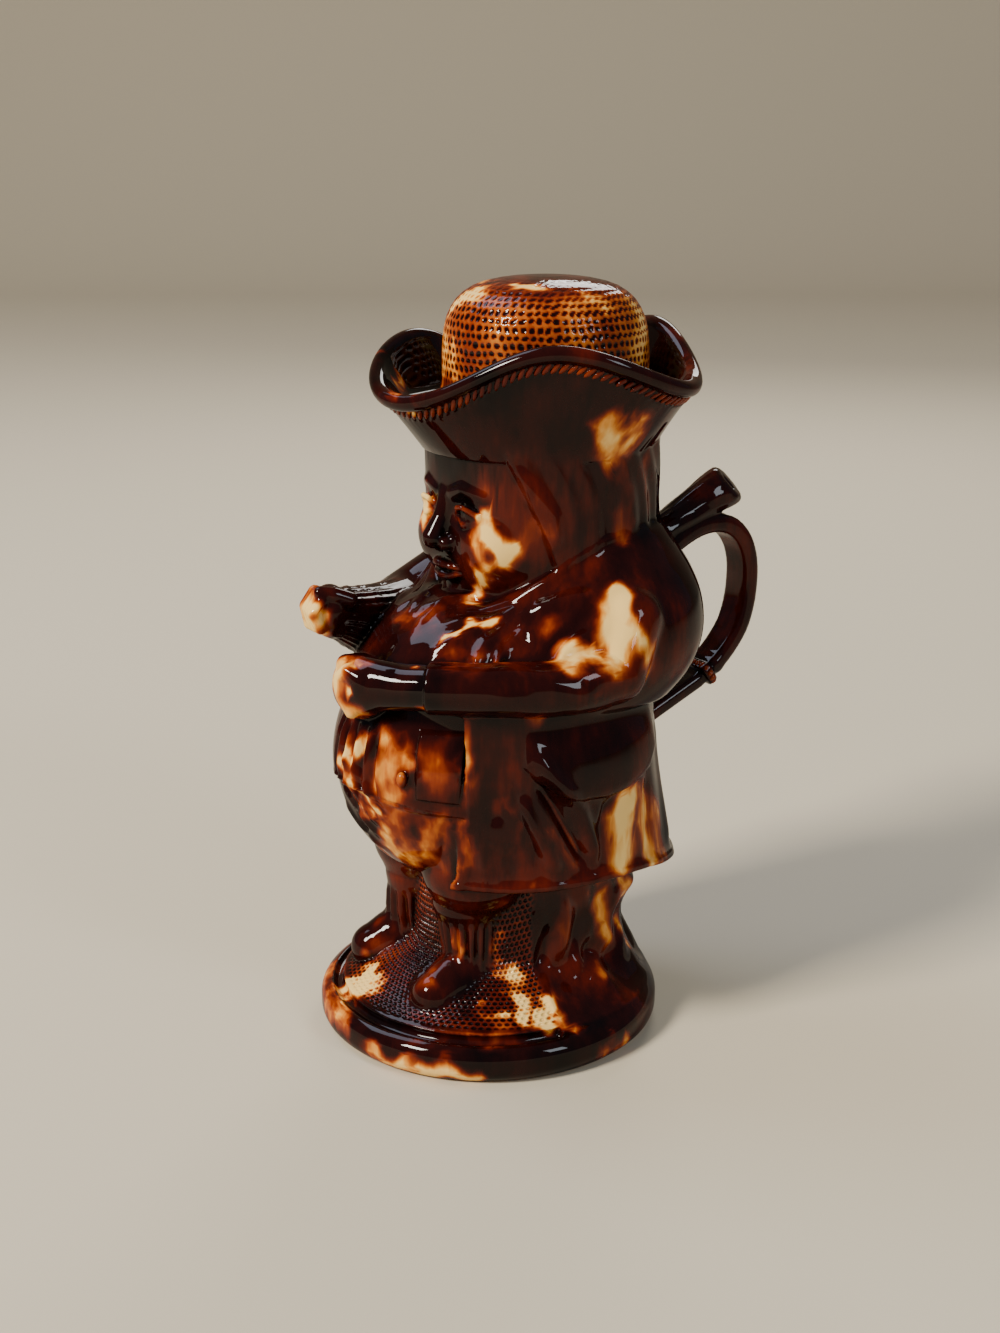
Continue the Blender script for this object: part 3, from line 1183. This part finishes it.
def glaze(name, depth, splash_weight, drift_weight, pool_weight):
    """A lead glaze with brown oxides: deep and dark in the hollows, thin on ridges, light where splashed."""
    material = bpy.data.materials.new(name)
    material.use_nodes = True
    tree = material.node_tree
    tree.nodes.clear()
    n = Nodes(tree)
    place = n.add("ShaderNodeTexCoord").output("Object")
    up = n.add("ShaderNodeSeparateXYZ", None, place).output("Z")
    falling = n.add("ShaderNodeMapping", None, place, None, None, (1.0, 1.0, 0.20))

    drift = n.noise(place, 26.0, 2.0)
    mottle = n.noise(place, 62.0, 3.0, 0.5)
    runs = n.noise(falling, 120.0, 3.0, 0.55)
    fine = n.noise(falling, 420.0, 2.0, 0.6)
    pool = n.add("ShaderNodeAttribute", {"attribute_name": "pool"}).output("Fac")
    ridge = n.add("ShaderNodeAttribute", {"attribute_name": "ridge"}).output("Fac")
    splash = n.add("ShaderNodeAttribute", {"attribute_name": "splash"}).output("Fac")

    torn = splash + ((mottle - 0.5) * 0.7 + (runs - 0.5) * 0.8) * n.ramp(splash, 0.0, 0.3)
    pale = n.ramp(torn, 0.05, 1.0) * splash_weight
    thin = n.ramp(ridge, 0.22, 0.85)
    deep = (
        depth
        + (drift - 0.5) * drift_weight
        + (mottle - 0.5) * 0.34
        + (runs - 0.5) * 0.30
        + (fine - 0.5) * 0.12
        + pool * pool_weight
        - thin * 0.25
        - pale * 0.86
    )
    pitted = n.add("ShaderNodeAttribute", {"attribute_name": "pitted"}).output("Fac")
    pit = pressed_pits(n, place) * pitted
    deep = deep + pit * 0.38 * (1 - pale * 0.75) - pitted * 0.15
    tone = colour(CREAM)
    for start, end, code in GLAZE_COLOURS:
        tone = n.blend(n.ramp(deep, start, end), tone, colour(code))

    foot = n.ramp(up, 0.0011, 0.0003)
    clay_grain = n.noise(place, 700.0, 2.0)
    biscuit = n.blend(clay_grain, colour(BISCUIT), colour("a88458"))
    tone = n.blend(foot, tone, biscuit)

    ripple = n.noise(place, 240.0, 2.0, 0.4)
    skin_bump = n.noise(place, 900.0, 1.0, 0.5)
    pinholes = n.add("ShaderNodeTexVoronoi", None, Vector=place, Scale=330.0).output("Distance")
    pricks = n.ramp(pinholes, 0.10, 0.03)
    height = ripple * 0.10 + skin_bump * 0.012 - pricks * 0.035 + clay_grain * foot * 0.1 - pit * 0.16
    bump = n.add("ShaderNodeBump", None, Strength=1.0, Distance=0.001, Height=height)

    shader = n.add(
        "ShaderNodeBsdfPrincipled", None,
        Base_Color=tone,
        Roughness=n.clamp(0.17 + fine * 0.14 + pricks * 0.2 + foot * 0.5),
        Specular_IOR_Level=0.0,
        Coat_Weight=0.48 * (1 - foot),
        Coat_Roughness=0.03,
        Coat_IOR=1.43,
        Normal=bump,
    )
    n.add("ShaderNodeOutputMaterial", None, shader)
    return material


# ---- pieces ----------------------------------------------------------------
def figure(material):
    """The man, his stand, hat brim and handle in one hollow casting."""
    low = (-62, -63, -3)
    high = (62, 115, 238)
    field, corner = sample_grid(jug, low, high, GRID)
    points, quads = skin(field, corner, GRID)
    points = settled(jug, points, 0.3, 1)
    points, quads = halved(points, quads)
    piece = mesh_object("figure_casting", points, quads)
    cut_finer(piece, pitted_ground)
    lay_on_skin(piece, jug)
    piece = thinned(piece, JUG_TRIANGLES)
    points = points_of(piece)
    normals = slope(jug, points, 0.22)
    give_normals(piece, normals)
    glaze_marks(piece, jug, points, normals, JUG_SPLASHES)
    give_attribute(piece, "pitted", bare_ground(tuple(points.T)))
    piece.data.materials.append(material)
    return piece


LID_PROFILE = (
    # radius, height, how deeply pitted; from the middle of the top down the outside to the collar
    # and up the inside
    (0.01, 250.0, 0.0), (6, 249.9, 0.0), (12, 249.4, 0.1), (16, 248.8, 0.2), (20, 247.9, 0.3),
    (23.5, 246.6, 0.45),
    (26.4, 244.8, 0.6), (28.6, 242.8, 0.8), (30.4, 240.2, 0.9), (31.8, 237.2, 1), (32.7, 233.6, 1),
    (33.2, 229, 1),
    (33.4, 224, 1), (33.4, 220, 0.8), (33.4, 217, 0.2), (33.6, 215.6, 0), (34, 214.6, 0), (34, 212.6, 0),
    (33.6, 211.6, 0), (32.9, 211.3, 0), (28.2, 211.3, 0), (27.6, 210.8, 0), (25.9, 208.2, 0),
    (24.6, 206.9, 0),
    (23.6, 206.9, 0), (23.5, 207.8, 0), (24.6, 210.4, 0), (26.6, 212.6, 0), (28.6, 214.4, 0),
    (29.4, 216.6, 0),
    (29.4, 224, 0), (29.2, 231, 0), (28.2, 235.8, 0), (25.5, 240.2, 0), (20.5, 243.2, 0), (14, 245, 0),
    (7, 245.8, 0), (0.01, 246, 0),
)
LID_SETTINGS = {
    "Columns": 380, "Rows": 250, "Pit Pitch": 0.00262, "Pit Depth": 0.00030, "Unevenness": 0.34,
    "Centre Y": LID_Y * MM,
}


def polyline(name, points, closed=False, **attributes):
    """A mesh of edges through points in millimetres, with one value a point for each attribute."""
    mesh = bpy.data.meshes.new(name)
    edges = [(i, i + 1) for i in range(len(points) - 1)]
    if closed:
        edges.append((len(points) - 1, 0))
    mesh.from_pydata([tuple(c * MM for c in point) for point in points], edges, [])
    for key, values in attributes.items():
        if isinstance(values[0], float):
            mesh.attributes.new(key, "FLOAT", "POINT").data.foreach_set("value", values)
        else:
            flat = [c for vector in values for c in vector]
            mesh.attributes.new(key, "FLOAT_VECTOR", "POINT").data.foreach_set("vector", flat)
    piece = bpy.data.objects.new(name, mesh)
    bpy.context.scene.collection.objects.link(piece)
    return piece


def new_tree(name, inputs):
    """An empty geometry tree that takes a geometry and the named sizes, and gives a geometry."""
    tree = bpy.data.node_groups.new(name, "GeometryNodeTree")
    tree.is_modifier = True
    tree.interface.new_socket("Geometry", in_out="INPUT", socket_type="NodeSocketGeometry")
    for key, value in inputs.items():
        kind = "NodeSocketInt" if isinstance(value, int) else "NodeSocketFloat"
        tree.interface.new_socket(key, in_out="INPUT", socket_type=kind)
    tree.interface.new_socket("Material", in_out="INPUT", socket_type="NodeSocketMaterial")
    tree.interface.new_socket("Geometry", in_out="OUTPUT", socket_type="NodeSocketGeometry")
    nodes = Nodes(tree)
    source = nodes.add("NodeGroupInput")
    return nodes, source


def finish_tree(nodes, source, geometry):
    real = nodes.add("GeometryNodeRealizeInstances", None, geometry)
    painted = nodes.add("GeometryNodeSetMaterial", None, real, None, source.output("Material"))
    nodes.add("NodeGroupOutput", None, painted)
    return nodes.tree


def grown(piece, tree, inputs, material):
    """The piece with its geometry tree worked out into a plain mesh."""
    modifier = piece.modifiers.new(tree.name, "NODES")
    modifier.node_group = tree
    values = {**inputs, "Material": material}
    for item in tree.interface.items_tree:
        if item.in_out == "INPUT" and item.name in values:
            modifier[item.identifier] = values[item.name]
    piece.update_tag()
    evaluated = piece.evaluated_get(bpy.context.evaluated_depsgraph_get())
    made = bpy.data.meshes.new_from_object(evaluated)
    piece.modifiers.clear()
    piece.data = made
    if not made.materials:
        made.materials.append(material)
    return piece


def turned_and_pitted():
    """A profile turned round an upright axis, with rows of pits pressed in where the profile says."""
    n, source = new_tree("turned_and_pitted", LID_SETTINGS)
    profile = n.add("GeometryNodeMeshToCurve", None, source.output("Geometry"))
    grid = n.add(
        "GeometryNodeMeshGrid", None, 1.0, 1.0, source.output("Columns") + 1, source.output("Rows")
    )
    place = n.add("GeometryNodeInputPosition")
    across = n.add("ShaderNodeSeparateXYZ", None, place)
    turn = (across.output("X") + 0.5) * (2 * math.pi)
    along = across.output("Y") + 0.5
    depth = n.add("GeometryNodeInputNamedAttribute", {"data_type": "FLOAT"}, "pitted")
    sample = n.add(
        "GeometryNodeSampleCurve", {"mode": "FACTOR", "data_type": "FLOAT", "use_all_curves": True},
        Curves=profile, Value=depth, Factor=along,
    )
    pitted = sample.output("Value")
    at = n.add("ShaderNodeSeparateXYZ", None, sample.output("Position"))
    tangent = n.add("ShaderNodeSeparateXYZ", None, sample.output("Tangent"))
    length = n.add("GeometryNodeCurveLength", None, profile)
    radius, height = at.output("X"), at.output("Z")
    pitch = source.output("Pit Pitch")

    wander = n.add("ShaderNodeSeparateXYZ", None, n.add(
        "ShaderNodeTexNoise", None, Vector=place, Scale=34.0, Detail=1.0).output("Color"))
    spread = source.output("Unevenness")
    upward = along * length / pitch + (wander.output("X") - 0.5) * 2.6 * spread
    row = n.add("ShaderNodeMath", {"operation": "FLOOR"}, upward)
    around = n.add("ShaderNodeMath", {"operation": "ROUND"}, radius * (2 * math.pi) / pitch)
    shift = n.add("ShaderNodeMath", {"operation": "FRACT"}, row * 0.5)
    column = turn / (2 * math.pi) * around + shift + (wander.output("Y") - 0.5) * 2.6 * spread
    beside = n.add("ShaderNodeMath", {"operation": "FRACT"}, column) - 0.5
    above = n.add("ShaderNodeMath", {"operation": "FRACT"}, upward) - 0.5
    from_middle = n.add("ShaderNodeCombineXYZ", None, beside, above, 0.0)
    off = n.add("ShaderNodeVectorMath", {"operation": "LENGTH"}, from_middle)
    pit = n.ramp(off.output("Value"), 0.46, 0.18) * pitted
    sunk = pit * source.output("Pit Depth")

    out = radius + tangent.output("Z") * sunk
    rise = height - tangent.output("X") * sunk
    sine = n.add("ShaderNodeMath", {"operation": "SINE"}, turn)
    cosine = n.add("ShaderNodeMath", {"operation": "COSINE"}, turn)
    moved = n.add("ShaderNodeCombineXYZ", None, out * sine, source.output("Centre Y") - out * cosine, rise)
    marked = n.add(
        "GeometryNodeStoreNamedAttribute", {"data_type": "FLOAT", "domain": "POINT"},
        grid, None, "pool", pit,
    )
    ridge = n.add(
        "GeometryNodeStoreNamedAttribute", {"data_type": "FLOAT", "domain": "POINT"},
        marked, None, "ridge", pitted * (1 - pit),
    )
    turned = n.add("GeometryNodeSetPosition", None, ridge, Position=moved)
    closed = n.add("GeometryNodeMergeByDistance", None, turned, None, 0.00001)
    smooth_faces = n.add("GeometryNodeSetShadeSmooth", None, closed)
    return finish_tree(n, source, smooth_faces)


def lid(material):
    """The crown of the hat: a pitted dome with a plain locating collar under it."""
    points = [(radius, 0, height) for radius, height, _ in LID_PROFILE]
    profile = polyline("lid_crown", points, pitted=[float(depth) for _, _, depth in LID_PROFILE])
    piece = grown(profile, turned_and_pitted(), LID_SETTINGS, material)
    give_attribute(piece, "splash", splash_field(points_of(piece), LID_SPLASHES))
    return piece


STUDS = {
    "Count": 100, "Length": 0.002, "Width": 0.001, "Height": 0.0006, "Slant": 0.5, "Unevenness": 0.12,
    "Seed": 3,
}


def studs_along():
    """Rounded studs laid end to end along a line, each standing on the outward side of the line."""
    n, source = new_tree("studs_along", STUDS)
    line = n.add("GeometryNodeMeshToCurve", None, source.output("Geometry"))
    even = n.add("GeometryNodeResampleCurve", {"mode": "COUNT"}, line, None, source.output("Count"))
    tangent = n.add("GeometryNodeInputTangent")
    outward = n.add("GeometryNodeInputNamedAttribute", {"data_type": "FLOAT_VECTOR"}, "outward")
    axes = {"primary_axis": "Z", "secondary_axis": "X"}
    facing = n.add("FunctionNodeAxesToRotation", axes, outward, tangent)
    slant = n.add("ShaderNodeCombineXYZ", None, 0.0, 0.0, source.output("Slant"))
    slanted = n.add("FunctionNodeEulerToRotation", None, slant)
    turned = n.add("FunctionNodeRotateRotation", {"rotation_space": "LOCAL"}, facing, slanted)
    ball = n.add("GeometryNodeMeshUVSphere", None, 10, 6, 1.0)
    lengths = [source.output(side) for side in ("Length", "Width", "Height")]
    size = n.add("ShaderNodeCombineXYZ", None, *lengths)
    shaped = n.add("GeometryNodeTransform", None, ball, Scale=size)
    spread = n.add(
        "FunctionNodeRandomValue", {"data_type": "FLOAT"},
        1 - source.output("Unevenness"), 1 + source.output("Unevenness"), Seed=source.output("Seed"),
    )
    placed = n.add("GeometryNodeInstanceOnPoints", None, even, None, shaped, Rotation=turned, Scale=spread)
    real = n.add("GeometryNodeRealizeInstances", None, placed)
    return finish_tree(n, source, n.add("GeometryNodeSetShadeSmooth", None, real))


def studded(name, points, outward, sizes, tree, material):
    line = polyline(name, points, True, outward=outward)
    piece = grown(line, tree, {**STUDS, **sizes}, material)
    where = points_of(piece)
    count = len(where)
    give_attribute(piece, "pool", np.zeros(count))
    give_attribute(piece, "ridge", np.full(count, 0.75))
    give_attribute(piece, "splash", splash_field(where, JUG_SPLASHES))
    return piece


ROPE_BELOW_EDGE = 4.4


def rope_on_brim(tree, material):
    """The slanting strokes of a rope pressed into the brim just under its edge."""
    points, outward = [], []
    for k in range(240):
        turn = 2 * math.pi * k / 240
        height, _ = brim_edge(turn)
        z = height - ROPE_BELOW_EDGE
        radius = float(hat_surface(np.float64(turn), z)) + 0.05
        lean = float(hat_surface(np.float64(turn), z + 1)) - radius
        points.append((math.sin(turn) * radius, HEAD_Y - math.cos(turn) * radius, z))
        normal = Vector((math.sin(turn), -math.cos(turn), -lean)).normalized()
        outward.append(tuple(normal))
    sizes = {"Count": 122, "Length": 0.0026, "Width": 0.0008, "Height": 0.00055, "Slant": 0.85, "Seed": 5}
    return studded("rope_strokes", points, outward, sizes, tree, material)


def beads_on_handle(tree, material):
    """The ring of small beads round the joint of the handle."""
    cy, cz = COLLAR_OF_HANDLE
    back, up = COLLAR_LEAN
    points, outward = [], []
    for k in range(60):
        turn = 2 * math.pi * k / 60
        across, out = math.sin(turn), math.cos(turn)
        squarer = (abs(across) ** 3 + abs(out) ** 3) ** (-1 / 3)
        x = across * squarer * (HANDLE_HALF_WIDTH + 1)
        rise = out * squarer * (HANDLE_HALF_THICKNESS + 1.1)
        points.append((x, cy - up * rise, cz + back * rise))
        outward.append(tuple(Vector((across, -up * out, back * out)).normalized()))
    sizes = {"Count": 18, "Length": 0.0009, "Width": 0.0013, "Height": 0.0008, "Slant": 0.0, "Seed": 8}
    return studded("handle_beads", points, outward, sizes, tree, material)


# ---- stage -----------------------------------------------------------------
CAMERA_TURN = math.radians(58)


def plain_material(name, code, roughness):
    material = bpy.data.materials.new(name)
    material.use_nodes = True
    shader = material.node_tree.nodes["Principled BSDF"]
    shader.inputs["Base Color"].default_value = colour(code)
    shader.inputs["Roughness"].default_value = roughness
    return material


def floor():
    """A plain pale sweep: flat under the jug, curving up behind it."""
    side, behind, bend = 6.0, 2.6, 1.2
    ahead = (-math.sin(CAMERA_TURN), math.cos(CAMERA_TURN))
    across = (ahead[1], -ahead[0])
    rows = [(-4.0, 0.0)] + [
        (behind + bend * math.sin(a), bend * (1 - math.cos(a))) for a in np.linspace(0, math.pi / 2, 24)
    ] + [(behind + bend, 6.0)]
    points = [
        ((ahead[0] * d + across[0] * s) / MM, (ahead[1] * d + across[1] * s) / MM, h / MM)
        for d, h in rows for s in (-side, side)
    ]
    faces = np.array([(2 * i, 2 * i + 1, 2 * i + 3, 2 * i + 2) for i in range(len(rows) - 1)])
    sweep = mesh_object("sweep", np.array(points, np.float32), faces)
    sweep.data.materials.append(plain_material("pale_paper", "c8bca4", 0.9))
    sweep.data.polygons.foreach_set("use_smooth", np.ones(len(faces), bool))


def lamp(name, place, aim, size, watts, tint=(1.0, 1.0, 1.0)):
    light = bpy.data.lights.new(name, "AREA")
    light.shape = "RECTANGLE"
    light.size, light.size_y = size
    light.energy = watts
    light.color = tint
    holder = bpy.data.objects.new(name, light)
    holder.location = place
    holder.rotation_euler = (Vector(aim) - Vector(place)).to_track_quat("-Z", "Y").to_euler()
    bpy.context.scene.collection.objects.link(holder)


def camera():
    lens = bpy.data.cameras.new("camera")
    lens.lens = 50.0
    holder = bpy.data.objects.new("camera", lens)
    holder.location = (0.501, -0.308, 0.300)
    holder.rotation_euler = (math.radians(73.29), 0.0, CAMERA_TURN)
    bpy.context.scene.collection.objects.link(holder)
    bpy.context.scene.camera = holder


def soft_light():
    world = bpy.data.worlds.new("room")
    world.use_nodes = True
    ground = world.node_tree.nodes["Background"]
    ground.inputs["Color"].default_value = (0.78, 0.85, 1.0, 1.0)
    ground.inputs["Strength"].default_value = 0.20
    bpy.context.scene.world = world
    lamp("key", (0.15, -2.7, 2.25), (0, 0, 0.14), (0.8, 0.7), 190, (1.0, 0.93, 0.82))
    lamp("sky", (-0.95, -0.55, 1.75), (0, 0, 0.12), (0.9, 0.9), 16, (0.72, 0.80, 1.0))
    lamp("window", (1.35, 0.35, 0.95), (0, 0.02, 0.13), (0.34, 0.5), 7, (0.84, 0.92, 1.0))
    lamp("back", (-0.9, 0.9, 0.9), (0, 0, 0.15), (0.5, 0.4), 7, (1.0, 0.97, 0.92))


# ---- build -----------------------------------------------------------------
camera()
soft_light()
floor()

treacle = glaze("treacle_glaze", 0.81, 1.0, 0.50, 0.36)
amber = glaze("amber_glaze", 0.71, 0.74, 0.40, 0.24)

casting = figure(treacle)
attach(casting, "root")
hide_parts("figure_jug")

crown = lid(amber)
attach(crown, "root")
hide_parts("hat_crown_lid")

studs = studs_along()
for trim in (rope_on_brim(studs, treacle), beads_on_handle(studs, treacle)):
    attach(trim, "root")
